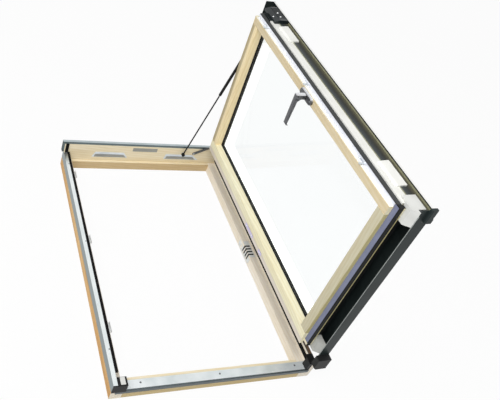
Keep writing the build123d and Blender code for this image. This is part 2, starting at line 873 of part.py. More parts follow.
# White clips that hold the lock side cover on its profile
for name, clip_y in (("lower", foot_y + clip_foot_place), ("upper", head_y - clip_from_head)):
    with BuildPart() as cover_clip:
        with BuildSketch(on_sash(Plane.XZ.offset(-(clip_y + clip_length / 2)))):
            Polygon(
                (-profile_half, clip_bottom),
                (-profile_half - clip_base_reach, clip_bottom + clip_bevel),
                (-web_half - clip_base_reach, clip_top - clip_bevel),
                (-web_half, clip_top - clip_bevel),
                (-web_half, cover_web_bottom),
                (-profile_half, cover_web_bottom),
                align=None,
            )
        extrude(amount=clip_length)
        with BuildSketch(on_sash(Plane.XZ.offset(-(clip_y + clip_nose / 2)))):
            Polygon(
                (-web_half, cover_web_bottom),
                (-web_half - clip_reach, cover_web_bottom + clip_bevel),
                (-web_half - clip_reach, clip_top - clip_bevel),
                (-web_half, clip_top),
                align=None,
            )
        extrude(amount=clip_nose)
    finish(cover_clip, f"cover_clip_{name}")

# White end blocks under the foot corners of the covers
for name, side in (("lock", -1), ("hinge", 1)):
    block_out = side * (profile_half + end_block_reach)
    with BuildPart() as end_block:
        with BuildSketch(on_sash(Plane.YZ.offset(min(block_out, side * block_half)))):
            Polygon(
                (core_foot, foot_profile_z),
                (cover_foot + end_block_slope, foot_profile_z),
                (cover_foot + fit_gap, profile_top - fit_gap),
                (core_foot, profile_top - fit_gap),
                align=None,
            )
        extrude(amount=end_block_width + end_block_reach)
        with BuildSketch(on_sash(Plane.XY.offset(end_block_tail_bottom))):
            tail = box_points(
                side * (web_half + fit_gap),
                cover_foot + end_block_slope,
                block_out,
                cover_foot + end_block_tail,
            )
            Polygon(*tail, align=None)
        extrude(amount=end_block_tail_top - end_block_tail_bottom)
    finish(end_block, f"end_block_{name}")

# Lock faceplate with a slot at each stud
slot_half = lock_bar_travel / 2 + stud_neck_radius + lock_bar_clear
with BuildPart() as lock_faceplate:
    with BuildSketch(on_sash(Plane.XY.offset(lock_rim_z - faceplate_gauge))):
        Polygon(
            *box_points(
                lock_x - faceplate_width / 2,
                face_foot,
                lock_x + faceplate_width / 2,
                face_head,
            ),
            align=None,
        )
        for strike_y in strike_places.values():
            with Locations((lock_x, strike_y)):
                SlotOverall(
                    2 * slot_half,
                    2 * (stud_neck_radius + lock_bar_clear),
                    rotation=90,
                    mode=Mode.SUBTRACT,
                )
    extrude(amount=faceplate_gauge)
finish(lock_faceplate, "lock_faceplate")

# Lock bar with mushroom studs, drawn back half its travel
with BuildPart() as lock_bar:
    with BuildSketch(on_sash(Plane.XY.offset(lock_rim_z + lock_bar_clear / 2))):
        Polygon(
            *box_points(
                lock_x - lock_bar_width / 2,
                rim_foot_y + lock_bar_travel,
                lock_x + lock_bar_width / 2,
                core_head - lock_bar_travel - lock_bar_clear,
            ),
            align=None,
        )
    extrude(amount=lock_bar_gauge)
    for strike_y in strike_places.values():
        with BuildSketch(on_sash(Plane.XY.offset(stud_z))):
            with Locations((lock_x, strike_y - lock_bar_travel / 2)):
                Circle(stud_head_radius)
        extrude(amount=stud_head_height)
        with BuildSketch(on_sash(Plane.XY.offset(stud_z))):
            with Locations((lock_x, strike_y - lock_bar_travel / 2)):
                Circle(stud_neck_radius)
        extrude(amount=stud_reach + lock_bar_gauge)
finish(lock_bar, "lock_bar")

# Handle plate and lever
with BuildPart() as handle_plate:
    with BuildSketch(on_sash(Plane.XY.offset(plate_z))):
        with Locations((handle_x, handle_y)):
            SlotOverall(handle_plate_length, handle_plate_width, rotation=90)
    extrude(amount=handle_plate_height)
    chamfer(handle_plate.edges().group_by(sash_out)[0], length=handle_plate_round)
    with BuildSketch(on_sash(Plane.XY.offset(plate_z))):
        with Locations((handle_x, handle_y)):
            Circle(spindle_radius + spindle_fit)
    extrude(amount=handle_plate_height, mode=Mode.SUBTRACT)
finish(handle_plate, "handle_plate")

lever_tip_x = handle_x + handle_length
lever_tip_z = neck_z + handle_tip_drop
lever_in_z = neck_z + handle_root_height
lever_section = [
    (handle_x - handle_neck_back, plate_z - fit_gap),
    (handle_x - handle_neck_back, neck_z + handle_round),
    (handle_x - handle_neck_back + handle_round, neck_z),
    (lever_tip_x - handle_hook, lever_tip_z),
    (lever_tip_x, lever_tip_z + handle_hook),
    (lever_tip_x, lever_tip_z + handle_tip_height + handle_hook),
    (lever_tip_x - handle_hook, lever_tip_z + handle_tip_height),
    (handle_x + handle_neck_front + handle_elbow, lever_in_z),
    (handle_x + handle_neck_front, lever_in_z + handle_elbow),
    (handle_x + handle_neck_front, plate_z - fit_gap),
]
with BuildPart() as handle_lever:
    with BuildSketch(on_sash(Plane.XZ.offset(-(handle_y + handle_width / 2)))):
        Polygon(*lever_section, align=None)
    extrude(amount=handle_width)
    chamfer(handle_lever.faces().sort_by(Axis.Y)[0].edges(), length=handle_round)
    chamfer(handle_lever.faces().sort_by(Axis.Y)[-1].edges(), length=handle_round)
    with BuildSketch(on_sash(Plane.XY.offset(plate_z - fit_gap))):
        with Locations((handle_x, handle_y)):
            Circle(spindle_radius)
    extrude(amount=fit_gap + handle_plate_height + spindle_depth)
finish(handle_lever, "handle_lever")

# Catch plates let into the hinge side rim
for name, (place, length) in catch_plates.items():
    plate_x = face_half + rim_side / 2
    plate_y = middle_y + place
    plate_points = box_points(
        plate_x - catch_plate_width / 2,
        plate_y - length / 2,
        plate_x + catch_plate_width / 2,
        plate_y + length / 2,
    )
    finish(plate_on_z(plate_points, rim_z - catch_plate_gauge, rim_z, on_sash), f"catch_plate_{name}")

# Hinges: a frame leaf with two knuckles, a sash leaf with one, and the pin through them
for name, hinge_y in (("lower", foot_y + hinge_foot_place), ("upper", head_y - hinge_from_head)):
    with BuildPart() as frame_leaf:
        for end in (-1, 1):
            near = hinge_y + end * (knuckle_length / 2 + knuckle_gap)
            far = near + end * knuckle_length
            with BuildSketch(Plane.XZ.offset(-max(near, far))):
                Polygon(
                    *box_points(hinge_x, cap_top, hinge_x + knuckle_radius, hinge_z),
                    align=None,
                )
                with Locations((hinge_x, hinge_z)):
                    Circle(knuckle_radius)
                    Circle(pin_radius + pin_fit, mode=Mode.SUBTRACT)
            extrude(amount=knuckle_length)
        with BuildSketch(Plane.XY.offset(cap_top)):
            Polygon(
                *box_points(
                    half_width - leaf_base,
                    hinge_y - leaf_length / 2,
                    hinge_x + knuckle_radius,
                    hinge_y + leaf_length / 2,
                ),
                align=None,
            )
        extrude(amount=leaf_gauge)
    finish(frame_leaf, f"frame_leaf_{name}")

    with BuildPart() as sash_leaf:
        with BuildSketch(on_sash(Plane.XZ.offset(-(hinge_y + knuckle_length / 2)))):
            Polygon(
                (profile_half, profile_top - sash_leaf_height),
                (profile_half + leaf_gauge, profile_top - sash_leaf_height),
                (profile_half + leaf_gauge, profile_top - leaf_gauge),
                (hinge_x, hinge_z - knuckle_radius),
                (hinge_x - knuckle_radius, hinge_z),
                (profile_half + leaf_gauge, cover_web_bottom),
                (profile_half + leaf_gauge, profile_top),
                (profile_half, profile_top),
                align=None,
            )
            with Locations((hinge_x, hinge_z)):
                Circle(knuckle_radius)
                Circle(pin_radius + pin_fit, mode=Mode.SUBTRACT)
        extrude(amount=knuckle_length)
        with BuildSketch(on_sash(Plane.XZ.offset(-(hinge_y + leaf_length / 2)))):
            Polygon(
                *box_points(
                    profile_half,
                    profile_top - sash_leaf_height,
                    profile_half + leaf_gauge,
                    profile_top,
                ),
                align=None,
            )
        extrude(amount=leaf_length)
    finish(sash_leaf, f"sash_leaf_{name}")

    stack = 3 * knuckle_length / 2 + knuckle_gap
    with BuildPart() as hinge_pin:
        with BuildSketch(Plane.XZ.offset(-(hinge_y + stack))):
            with Locations((hinge_x, hinge_z)):
                Circle(pin_radius)
        extrude(amount=2 * stack)
        with BuildSketch(Plane.XZ.offset(-(hinge_y + stack + pin_head_height))):
            with Locations((hinge_x, hinge_z)):
                Circle(pin_head_radius)
        extrude(amount=pin_head_height)
    finish(hinge_pin, f"hinge_pin_{name}")

# Gas strut, in line between its two studs with the sash open
strut_closed = Vector(strut_sash_in - half_width, strut_y, strut_sash_height)
strut_top = (sash_turn * Location(strut_closed)).position
strut_low = Vector(strut_frame_x, strut_y, strut_frame_height)
strut_length = (strut_low - strut_top).length
strut_stroke = strut_length - (strut_low - strut_closed).length
strut_along = (strut_low - strut_top).normalized()


def strut_plane(distance):
    return Plane(strut_top + strut_along * distance, x_dir=(0, 1, 0), z_dir=strut_along)


with BuildPart() as strut_pivot:
    with BuildSketch(on_sash(Plane.XZ.offset(-profile_head))):
        with Locations((strut_closed.X, strut_closed.Z)):
            Circle(pivot_base_radius)
    extrude(amount=-pivot_base_height)
    with BuildSketch(on_sash(Plane.XZ.offset(-profile_head))):
        with Locations((strut_closed.X, strut_closed.Z)):
            Circle(pivot_radius)
    extrude(amount=-(strut_y + cylinder_radius - profile_head))
finish(strut_pivot, "strut_pivot")

with BuildPart() as strut_cylinder:
    with BuildSketch(strut_plane(0)):
        Circle(cylinder_radius)
    extrude(amount=cylinder_length)
    chamfer(strut_cylinder.edges().filter_by(GeomType.CIRCLE), length=cylinder_bevel)
    with BuildSketch(Plane.XZ.offset(-(strut_y + cylinder_radius))):
        with Locations((strut_top.X, strut_top.Z)):
            Circle(eye_radius)
    extrude(amount=2 * cylinder_radius)
    with BuildSketch(Plane.XZ.offset(-(strut_y + cylinder_radius + overrun))):
        with Locations((strut_top.X, strut_top.Z)):
            Circle(pivot_radius + pivot_fit)
    extrude(amount=2 * (cylinder_radius + overrun), mode=Mode.SUBTRACT)
    with BuildSketch(strut_plane(cylinder_length + overrun)):
        Circle(rod_radius + rod_fit)
    extrude(amount=-(strut_stroke + rod_inside + 2 * overrun), mode=Mode.SUBTRACT)
finish(strut_cylinder, "strut_cylinder")

with BuildPart() as strut_rod:
    with BuildSketch(strut_plane(cylinder_length - rod_inside)):
        Circle(rod_radius)
    extrude(amount=strut_length - cylinder_length + rod_inside)
    with BuildSketch(Plane.XZ.offset(-rod_end_back_y)):
        with Locations((strut_low.X, strut_low.Z)):
            Circle(rod_end_radius)
    extrude(amount=rod_end_back + rod_end_front)
finish(strut_rod, "strut_rod")
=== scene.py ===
import bpy
import bmesh
import math
from mathutils import Euler, Matrix, Vector


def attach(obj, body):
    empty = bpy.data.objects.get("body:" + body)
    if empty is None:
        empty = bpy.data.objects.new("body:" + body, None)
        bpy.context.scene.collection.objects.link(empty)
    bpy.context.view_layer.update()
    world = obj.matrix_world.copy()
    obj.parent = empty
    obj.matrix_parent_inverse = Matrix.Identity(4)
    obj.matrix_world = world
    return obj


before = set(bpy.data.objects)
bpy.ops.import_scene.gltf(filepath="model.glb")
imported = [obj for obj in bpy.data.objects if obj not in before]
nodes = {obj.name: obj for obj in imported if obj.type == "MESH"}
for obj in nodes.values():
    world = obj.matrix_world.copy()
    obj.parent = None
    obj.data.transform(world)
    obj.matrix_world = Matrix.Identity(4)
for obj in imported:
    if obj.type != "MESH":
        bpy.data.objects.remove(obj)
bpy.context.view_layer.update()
mm = 0.001
print("frame loaded,", len(nodes), "nodes")

# the sash is drawn open: this turns its closed layout to where it stands
hinge = {"x": 331 * mm, "z": 116 * mm, "openDeg": 87}
hingePoint = Vector((hinge["x"], 0, hinge["z"]))
sashTurn = (
    Matrix.Translation(hingePoint)
    @ Matrix.Rotation(math.radians(hinge["openDeg"]), 4, "Y")
    @ Matrix.Translation(-hingePoint)
)


def hexColor(code):
    # sRGB hex to the linear colour that the sockets take
    parts = [int(code[i:i + 2], 16) / 255 for i in (0, 2, 4)]
    return [c / 12.92 if c <= 0.04045 else ((c + 0.055) / 1.055) ** 2.4 for c in parts] + [1.0]


def addNode(tree, kind, settings=None, **links):
    # one node with its settings, "in_" for a socket's own; links feed sockets by name, with _ for a space
    node = tree.nodes.new(kind)
    for key, value in (settings or {}).items():
        if key.startswith("in_"):
            node.inputs[key[3:]].default_value = value
        else:
            setattr(node, key, value)
    for key, source in links.items():
        tree.links.new(source, node.inputs[key.replace("_", " ")])
    return node


def feed(tree, sockets, values):
    # fills sockets in order: a hex code or a number sets one, the output of another node is linked
    for socket, value in zip(sockets, values):
        if isinstance(value, str):
            socket.default_value = hexColor(value)
        elif isinstance(value, (int, float)):
            socket.default_value = value
        else:
            tree.links.new(value, socket)


def mathNode(tree, operation, *values):
    node = addNode(tree, "ShaderNodeMath", {"operation": operation})
    feed(tree, node.inputs, values)
    return node.outputs[0]


def mixNode(tree, share, under, over, blend="MIX"):
    # the mix node keeps its colour sockets behind those for numbers and vectors
    node = addNode(tree, "ShaderNodeMix", {"data_type": "RGBA", "blend_type": blend})
    feed(tree, [node.inputs[slot] for slot in (0, 6, 7)], (share, under, over))
    return node.outputs[2]


def mixShader(tree, share, under, over):
    node = addNode(tree, "ShaderNodeMixShader")
    feed(tree, node.inputs, (share, under.outputs[0], over.outputs[0]))
    return node.outputs[0]


def spread(tree, value, low, high, toLow=0.0, toHigh=1.0):
    # lays one range of a value over another
    node = addNode(tree, "ShaderNodeMapRange")
    feed(tree, node.inputs, (value, low, high, toLow, toHigh))
    return node.outputs[0]


# a face begins to look along an axis at the first share of its normal, and does so fully at the second
facingShares = (0.4, 0.8)


def looking(tree, along, sign=1):
    return spread(tree, along, *[sign * share for share in facingShares])


def ramp(tree, fac, stops):
    node = addNode(tree, "ShaderNodeValToRGB", Fac=fac)
    while len(node.color_ramp.elements) < len(stops):
        node.color_ramp.elements.new(0.5)
    for element, (place, code) in zip(node.color_ramp.elements, stops):
        element.position = place
        element.color = hexColor(code)
    return node.outputs["Color"]


def newMaterial(name):
    material = bpy.data.materials.new(name)
    material.use_nodes = True
    tree = material.node_tree
    tree.nodes.clear()
    out = addNode(tree, "ShaderNodeOutputMaterial")
    return material, tree, out


def axesOf(tree, vector):
    return addNode(tree, "ShaderNodeSeparateXYZ", Vector=vector).outputs


def stretch(tree, vector, acrossMm, axis, alongMm):
    # coordinates in units of a size in mm, longer along one axis if it is given
    scale = [1 / (acrossMm * mm)] * 3
    if axis:
        scale["XYZ".index(axis)] = 1 / (alongMm * mm)
    return addNode(tree, "ShaderNodeMapping", {"in_Scale": scale}, Vector=vector).outputs["Vector"]


# lacquered pine: pale cream sapwood with soft honey rings, satin lacquer; the frame's outer sides are tanned
pine = {
    "ringMm": 20, "streakMm": 260, "ringScale": 1.1, "ringBend": 3.4, "broadScale": 0.6,
    "grainMm": 1.3, "grainLongMm": 45, "bump": 0.12, "bumpMm": 0.3, "rough": (0.42, 0.6), "gloss": 0.35,
    "broadPale": "fffdf7", "broadWarm": "f5ecd6", "broadShare": 0.7, "line": "ebe1c9", "lineShare": 0.5,
    "outerMm": 329.5, "outerPale": "e4c184", "outer": "d3a55c", "outerDark": "a97a35",
    "outerLine": "d8b48a", "outerLineShare": 0.6,
    "oiledAndShadeMm": (30, 955), "oiledAndShadeTones": {"frameRail": "ddd2b2", "sashRail": "cbd0bc"},
    "shadedTone": "ddceb7", "shadedMm": 37,
}
# pale and ring tones of each run of timber
pineRuns = {
    "frameStile": ("f9f5f0", "f6efe6"), "frameRail": ("f4ebd6", "efe4c9"),
    "sashStile": ("f8f6df", "f3efd1"), "sashRail": ("fdefcc", "f8e8c0"),
}
# painted shade on the sash's room face: tones at places in mm along an axis, hinge stile to lock stile, foot rail to
# head rail
roomFaceShades = {
    "sashStile": {"axis": "Z", "stops": [(144, "eae8ff"), (152, "ffffff"), (390, "ffffff"), (400, "e5dad2")]},
    "sashRail": {"axis": "Y", "stops": [(490, "d1dae7"), (500, "ffffff"), (908, "ffffff"), (915, "bab9b3")]},
}


def pineMaterial(name, run, grainAxis):
    material, tree, out = newMaterial(name)
    coords = addNode(tree, "ShaderNodeTexCoord").outputs
    facing, place = axesOf(tree, coords["Normal"]), axesOf(tree, coords["Object"])
    turned = addNode(tree, "ShaderNodeMapping", Vector=coords["Object"])
    if run in roomFaceShades:
        turned.inputs["Rotation"].default_value = (0, math.radians(-hinge["openDeg"]), 0)
    along = turned.outputs["Vector"]
    stretched = stretch(tree, along, pine["ringMm"], grainAxis, pine["streakMm"])
    broad = addNode(
        tree, "ShaderNodeTexNoise", {"in_Scale": pine["broadScale"], "in_Detail": 3.0, "in_Roughness": 0.5},
        Vector=stretched).outputs["Fac"]
    rings = addNode(
        tree, "ShaderNodeTexWave",
        {"wave_type": "BANDS", "bands_direction": "DIAGONAL", "in_Scale": pine["ringScale"],
         "in_Distortion": pine["ringBend"], "in_Detail": 2.0, "in_Detail Scale": 0.8},
        Vector=stretched).outputs["Fac"]
    fine = addNode(
        tree, "ShaderNodeTexNoise", {"in_Scale": 1.0, "in_Detail": 4.0},
        Vector=stretch(tree, along, pine["grainMm"], grainAxis, pine["grainLongMm"])).outputs["Fac"]
    pale, ring = pineRuns[run]
    ringed = ramp(tree, rings, [(0.2, pale), (0.85, ring)])
    warmed = ramp(tree, broad, [(0.3, pine["broadPale"]), (0.75, pine["broadWarm"])])
    color = mixNode(tree, pine["broadShare"], ringed, warmed, "MULTIPLY")
    lined = ramp(tree, fine, [(0.4, "ffffff"), (0.75, pine["line"])])
    color = mixNode(tree, pine["lineShare"], color, lined, "MULTIPLY")
    if run == "frameStile":
        # only the face that looks sideways at the frame's outside is bare and tanned
        outside = mathNode(tree, "GREATER_THAN", mathNode(tree, "ABSOLUTE", place["X"]), pine["outerMm"] * mm)
        bare = mathNode(tree, "MULTIPLY", mathNode(tree, "ABSOLUTE", facing["X"]), outside)
        tanned = ramp(tree, broad, [(0.3, pine["outerPale"]), (0.5, pine["outer"]), (0.75, pine["outerDark"])])
        lined = ramp(tree, fine, [(0.35, "ffffff"), (0.75, pine["outerLine"])])
        tanned = mixNode(tree, pine["outerLineShare"], tanned, lined, "MULTIPLY")
        color = mixNode(tree, bare, color, tanned)
    if run in roomFaceShades:
        # painted shade: the sash's room face is darkened by place
        tones = roomFaceShades[run]
        tone = ramp(tree, place[tones["axis"]], [(at * mm, code) for at, code in tones["stops"]])
        color = mixNode(tree, looking(tree, facing["X"], -1), color, tone, "MULTIPLY")
    if run in pine["oiledAndShadeTones"]:
        # the outward faces of the foot and head pieces: on the frame a greyer tone of oiled wood, on the sash rails
        # painted shade
        low, high = pine["oiledAndShadeMm"]
        fromMiddle = mathNode(tree, "SUBTRACT", place["Y"], (low + high) / 2 * mm)
        outward = looking(tree, mathNode(tree, "MULTIPLY", facing["Y"], mathNode(tree, "SIGN", fromMiddle)))
        atEnd = mathNode(tree, "GREATER_THAN", mathNode(tree, "ABSOLUTE", fromMiddle), (high - low) / 2 * mm)
        oiledAndShaded = mathNode(tree, "MULTIPLY", outward, atEnd)
        color = mixNode(tree, oiledAndShaded, color, pine["oiledAndShadeTones"][run], "MULTIPLY")
    if run == "frameRail":
        # painted shade: the head's lower face, turned into the opening, is darkened and browned
        atHead = mathNode(tree, "GREATER_THAN", fromMiddle, 0.0)
        under = mathNode(tree, "LESS_THAN", place["Z"], pine["shadedMm"] * mm)
        lower = mathNode(tree, "MULTIPLY", atHead, under)
        shaded = mathNode(tree, "MULTIPLY", looking(tree, facing["Y"], -1), lower)
        color = mixNode(tree, shaded, color, pine["shadedTone"], "MULTIPLY")
    bump = addNode(
        tree, "ShaderNodeBump", {"in_Strength": pine["bump"], "in_Distance": pine["bumpMm"] * mm}, Height=fine)
    shader = addNode(
        tree, "ShaderNodeBsdfPrincipled", {"in_IOR": 1.5, "in_Specular IOR Level": pine["gloss"]},
        Base_Color=color, Roughness=spread(tree, fine, 0.0, 1.0, *pine["rough"]), Normal=bump.outputs["Normal"])
    tree.links.new(shader.outputs[0], out.inputs["Surface"])
    return material


# sheet metals, plastics and rubbers share one recipe: a base tone, a broad mottle, fine grit in gloss and bump
# "drawn" is the axis of rolling lines; where a recipe has a side tone, faces that look up keep its bright colour as
# a painted highlight of the sky above and the other faces take the darker side tone, partly the grey lacquer of
# folded sheet and partly painted shade
finishBase = {"metallic": 0.0, "drawn": None, "drawnMm": 60, "mottleMm": 55, "bumpMm": 0.2, "glow": 0.0}
finishes = {
    # coated aluminium sheet: flat tops painted bright as a highlight, grey-blue folded skirts in lacquer and painted
    # shade, faint rolling lines
    "coatedAluminium": {
        "color": "e9eeee", "shade": "dce3e4", "skirtShade": "7e8a8c", "metallic": 1.0, "rough": (0.3, 0.42),
        "grainMm": 0.7, "drawn": "Y", "bump": 0.05, "gloss": 0.5},
    # the same sheet on the hinge side: its top painted brown as shade under the sash, grey outside
    "shadeBrownAluminium": {
        "color": "8a7059", "shade": "7c644f", "skirtShade": "7e8a8c", "metallic": 0.5, "rough": (0.4, 0.55),
        "grainMm": 0.7, "drawn": "Y", "bump": 0.05, "gloss": 0.4},
    # the same sheet on the head, darker, with the same painted highlight on its top
    "hoodAluminium": {
        "color": "b9c3c5", "shade": "aab5b8", "skirtShade": "687577", "metallic": 1.0, "rough": (0.32, 0.45),
        "grainMm": 0.7, "drawn": "X", "bump": 0.05, "gloss": 0.5},
    # tread of the sill: scuffed sheet with a painted highlight on its top; its dark folded lip, partly painted
    # shade, wraps over the front edge as far as nosingMm
    "treadAluminium": {
        "color": "e6ecee", "shade": "d3dbdd", "skirtShade": "545d60", "nosingMm": -16, "metallic": 0.4,
        "rough": (0.28, 0.42), "grainMm": 0.7, "drawn": "X", "bump": 0.06, "gloss": 0.5},
    # painted highlight along the edge of the cover sheet: light grey aluminium
    "edgeHighlightAluminium": {
        "color": "b4bab8", "shade": "a6acaa", "metallic": 0.5, "rough": (0.4, 0.55),
        "grainMm": 0.7, "drawn": "X", "bump": 0.05, "gloss": 0.4},
    # powder coated covers: dark grey with a satin orange peel
    "powderCoat": {
        "color": "283030", "shade": "232a2a", "rough": (0.34, 0.46), "grainMm": 0.9, "bump": 0.1, "gloss": 0.16},
    # the same coat on the lock cover with painted reflections: its channel's floor is toned by depth, its underside
    # is olive, and its lip beyond lipMm is painted bright as a highlight with a dark painted edge
    "paintedReflectionCoat": {
        "color": "34383a", "shade": "2c3031", "insideMm": (276, 314),
        "inside": [
            (0.0, "6f746c"), (0.08, "414746"), (0.25, "34393a"), (0.5, "3f403d"), (0.75, "5a584a"), (1.0, "7a7860")],
        "under": "a9a88a", "lip": "f6f6f3", "lipEdge": "26292a", "lipMm": 760,
        "rough": (0.3, 0.42), "grainMm": 0.9, "bump": 0.1, "gloss": 0.3},
    # moulded nylon: deep black with a soft sheen
    "blackNylon": {
        "color": "131415", "shade": "0e0f10", "rough": (0.42, 0.58), "grainMm": 0.8, "bump": 0.12, "gloss": 0.25},
    # the ribbed end caps' nylon: charcoal, catches more light on its ribs
    "greyNylon": {
        "color": "1d2427", "shade": "171d1f", "rough": (0.16, 0.28), "grainMm": 0.8, "bump": 0.12, "gloss": 0.3},
    # vinyl liner: white, with a painted glow (emission) that lifts it out of the shade it sits in
    "glowingLinerVinyl": {
        "color": "fbfbf8", "shade": "f5f5f1", "rough": (0.35, 0.5), "grainMm": 1.2, "bump": 0.03, "gloss": 0.4,
        "glow": 0.42},
    # extruded vinyl: clean white, slightly glossy
    "whiteVinyl": {
        "color": "f7f7f2", "shade": "eeeee8", "rough": (0.32, 0.45), "grainMm": 1.2, "bump": 0.04, "gloss": 0.4},
    # moulded corner blocks: greyer than the extrusions
    "greyVinyl": {
        "color": "e6e7e3", "shade": "d8d9d5", "rough": (0.4, 0.55), "grainMm": 1.0, "bump": 0.06, "gloss": 0.35},
    # the block beside the hinge: the same vinyl, darkened as painted shade
    "shadedVinyl": {
        "color": "b9bab5", "shade": "a9aaa5", "rough": (0.45, 0.6), "grainMm": 1.0, "bump": 0.06, "gloss": 0.3},
    # extruded rubber: matt, nearly black
    "sealRubber": {
        "color": "0c0c0d", "shade": "080809", "rough": (0.6, 0.8), "grainMm": 1.0, "bump": 0.15, "gloss": 0.12},
    # the sash's own seal: dark grey, and black along the foot
    "darkGreyRubber": {
        "color": "414343", "shade": "383a3a", "foot": "161717", "footMm": 20, "rough": (0.55, 0.75),
        "grainMm": 1.0, "bump": 0.15, "gloss": 0.3},
    # blue passivated zinc plate: pale with a lilac cast
    "blueZinc": {
        "color": "f1f3fa", "shade": "e2e5f0", "metallic": 0.6, "rough": (0.25, 0.4), "grainMm": 1.6,
        "drawn": "Y", "bump": 0.04, "gloss": 0.5},
    # the same on the catch plates, thicker and more lilac
    "lilacZinc": {
        "color": "cfc8e4", "shade": "c3bcdb", "metallic": 0.4, "rough": (0.25, 0.4), "grainMm": 1.6,
        "drawn": "Y", "bump": 0.04, "gloss": 0.5},
    # plain zinc plate: mid grey with a dull spangle
    "zincSteel": {
        "color": "e2e7ea", "shade": "cbd1d5", "metallic": 1.0, "rough": (0.3, 0.48), "grainMm": 2.0,
        "bump": 0.05, "gloss": 0.5},
    # bright zinc castings of the strikes: nearly white
    "paleZinc": {
        "color": "f0f1f1", "shade": "e4e6e6", "metallic": 0.3, "rough": (0.35, 0.5), "grainMm": 1.2,
        "bump": 0.05, "gloss": 0.5},
    # tumbled hinge steel: dark grey, duller
    "hingeSteel": {
        "color": "75787b", "shade": "64676a", "metallic": 1.0, "rough": (0.36, 0.52), "grainMm": 1.5,
        "bump": 0.06, "gloss": 0.5},
    # die cast handle under silver lacquer: painted highlight on its up-facing faces, painted shade on its sides
    "silverLacquer": {
        "color": "e9eaec", "shade": "d9dadd", "skirtShade": "5d5e61", "metallic": 0.6, "rough": (0.28, 0.4),
        "grainMm": 0.5, "bump": 0.05, "gloss": 0.5},
    # enamelled gas spring: smooth black
    "strutEnamel": {
        "color": "0d0d0e", "shade": "09090a", "rough": (0.34, 0.46), "grainMm": 0.8, "bump": 0.04, "gloss": 0.2},
    # grey lacquer on the blank plate, and grey for the painted shade in the vents
    "greyLacquer": {
        "color": "9b9c96", "shade": "8f908a", "rough": (0.38, 0.5), "grainMm": 0.9, "bump": 0.05, "gloss": 0.4},
    # coextruded brush strip: lilac grey
    "lilacStrip": {
        "color": "7f849d", "shade": "747993", "rough": (0.5, 0.65), "grainMm": 0.9, "drawn": "X", "bump": 0.1,
        "gloss": 0.3},
}


def finishMaterial(name, recipe):
    recipe = {**finishBase, **recipe}
    material, tree, out = newMaterial(name)
    coords = addNode(tree, "ShaderNodeTexCoord").outputs
    facing, place = axesOf(tree, coords["Normal"]), axesOf(tree, coords["Object"])
    fine = addNode(
        tree, "ShaderNodeTexNoise", {"in_Scale": 1.0, "in_Detail": 3.0},
        Vector=stretch(tree, coords["Object"], recipe["grainMm"], recipe["drawn"], recipe["drawnMm"])).outputs["Fac"]
    broad = addNode(
        tree, "ShaderNodeTexNoise", {"in_Scale": 1 / (recipe["mottleMm"] * mm), "in_Detail": 2.0},
        Vector=coords["Object"]).outputs["Fac"]
    tone = ramp(tree, broad, [(0.35, recipe["color"]), (0.7, recipe["shade"])])
    # painted highlight and shade: faces that look up take the bright colour, the others the darker side tone
    if "skirtShade" in recipe:
        litTop = looking(tree, facing["Z"])
        if "nosingMm" in recipe:
            behind = mathNode(tree, "GREATER_THAN", place["Y"], recipe["nosingMm"] * mm)
            litTop = mathNode(tree, "MULTIPLY", litTop, behind)
        tone = mixNode(tree, litTop, recipe["skirtShade"], tone)
    if "foot" in recipe:
        atFoot = mathNode(tree, "LESS_THAN", place["Y"], recipe["footMm"] * mm)
        tone = mixNode(tree, atFoot, tone, recipe["foot"])
    # painted reflection on the lock cover's channel and underside, painted highlight on its lip and painted shade on
    # the lip's edge
    if "inside" in recipe:
        near, far = recipe["insideMm"]
        depth = spread(tree, place["X"], near * mm, far * mm)
        onLip = mathNode(tree, "GREATER_THAN", place["Z"], recipe["lipMm"] * mm)
        top = mixNode(tree, onLip, ramp(tree, depth, recipe["inside"]), recipe["lip"])
        under = mixNode(tree, onLip, recipe["under"], recipe["lipEdge"])
        tone = mixNode(tree, looking(tree, facing["Z"]), tone, top)
        tone = mixNode(tree, looking(tree, facing["X"], -1), tone, under)
    bump = addNode(
        tree, "ShaderNodeBump", {"in_Strength": recipe["bump"], "in_Distance": recipe["bumpMm"] * mm}, Height=fine)
    shader = addNode(
        tree, "ShaderNodeBsdfPrincipled",
        {"in_Metallic": recipe["metallic"], "in_Specular IOR Level": recipe["gloss"],
         "in_Emission Color": hexColor("ffffff"), "in_Emission Strength": recipe["glow"]},
        Base_Color=tone, Roughness=spread(tree, fine, 0.0, 1.0, *recipe["rough"]), Normal=bump.outputs["Normal"])
    tree.links.new(shader.outputs[0], out.inputs["Surface"])
    return material


# coated float glass: clear, its coating takes nearly all reflection away, lets the lamps through
glass = {"tint": "feffff", "ior": 1.08}


def glassMaterial(name):
    material, tree, out = newMaterial(name)
    tint = hexColor(glass["tint"])
    shader = addNode(
        tree, "ShaderNodeBsdfPrincipled",
        {"in_Base Color": tint, "in_Roughness": 0.0, "in_IOR": glass["ior"], "in_Transmission Weight": 1.0})
    clear = addNode(tree, "ShaderNodeBsdfTransparent", {"in_Color": tint})
    rays = addNode(tree, "ShaderNodeLightPath").outputs
    tree.links.new(mixShader(tree, rays["Is Shadow Ray"], shader, clear), out.inputs["Surface"])
    return material


materials = {name: finishMaterial(name, recipe) for name, recipe in finishes.items()}
materials["pineStile"] = pineMaterial("pineStile", "frameStile", "Y")
materials["pineRail"] = pineMaterial("pineRail", "frameRail", "X")
materials["pineSashStile"] = pineMaterial("pineSashStile", "sashStile", "Y")
materials["pineSashRail"] = pineMaterial("pineSashRail", "sashRail", "X")
materials["floatGlass"] = glassMaterial("floatGlass")

